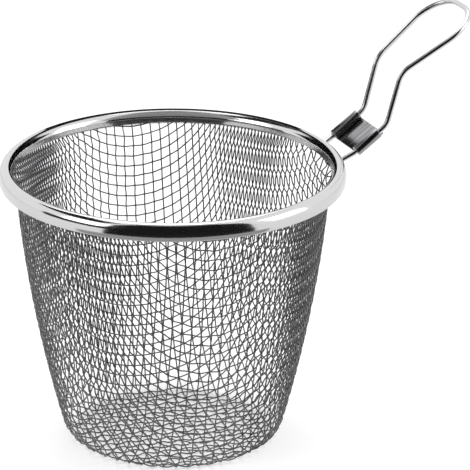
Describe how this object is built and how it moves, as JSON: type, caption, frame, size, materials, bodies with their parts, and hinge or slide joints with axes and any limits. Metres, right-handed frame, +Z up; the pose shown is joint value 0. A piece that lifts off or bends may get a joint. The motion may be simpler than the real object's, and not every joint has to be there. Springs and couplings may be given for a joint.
{
  "type": "hot pot strainer",
  "caption": "Deep woven wire strainer cup with flat base, rolled metal rim and a bent wire loop handle held by a folded clip.",
  "frame": {"origin": "middle of the cup's flat underside", "axes": "+Z up along the cup's axis, +X towards the handle; the cloth's wires run along X and Y in the base"},
  "size_m": [0.1717, 0.12, 0.1439],
  "materials": {
    "rim_steel": "polished",
    "mesh_steel": "satin",
    "handle_steel": "polished",
    "clip_steel": "satin"
  },
  "bodies": {
    "root": {"rim_ring": "rim_steel", "mesh_basket": "mesh_steel", "handle_wire": "handle_steel", "handle_clip": "clip_steel"}
  },
  "joints": []
}
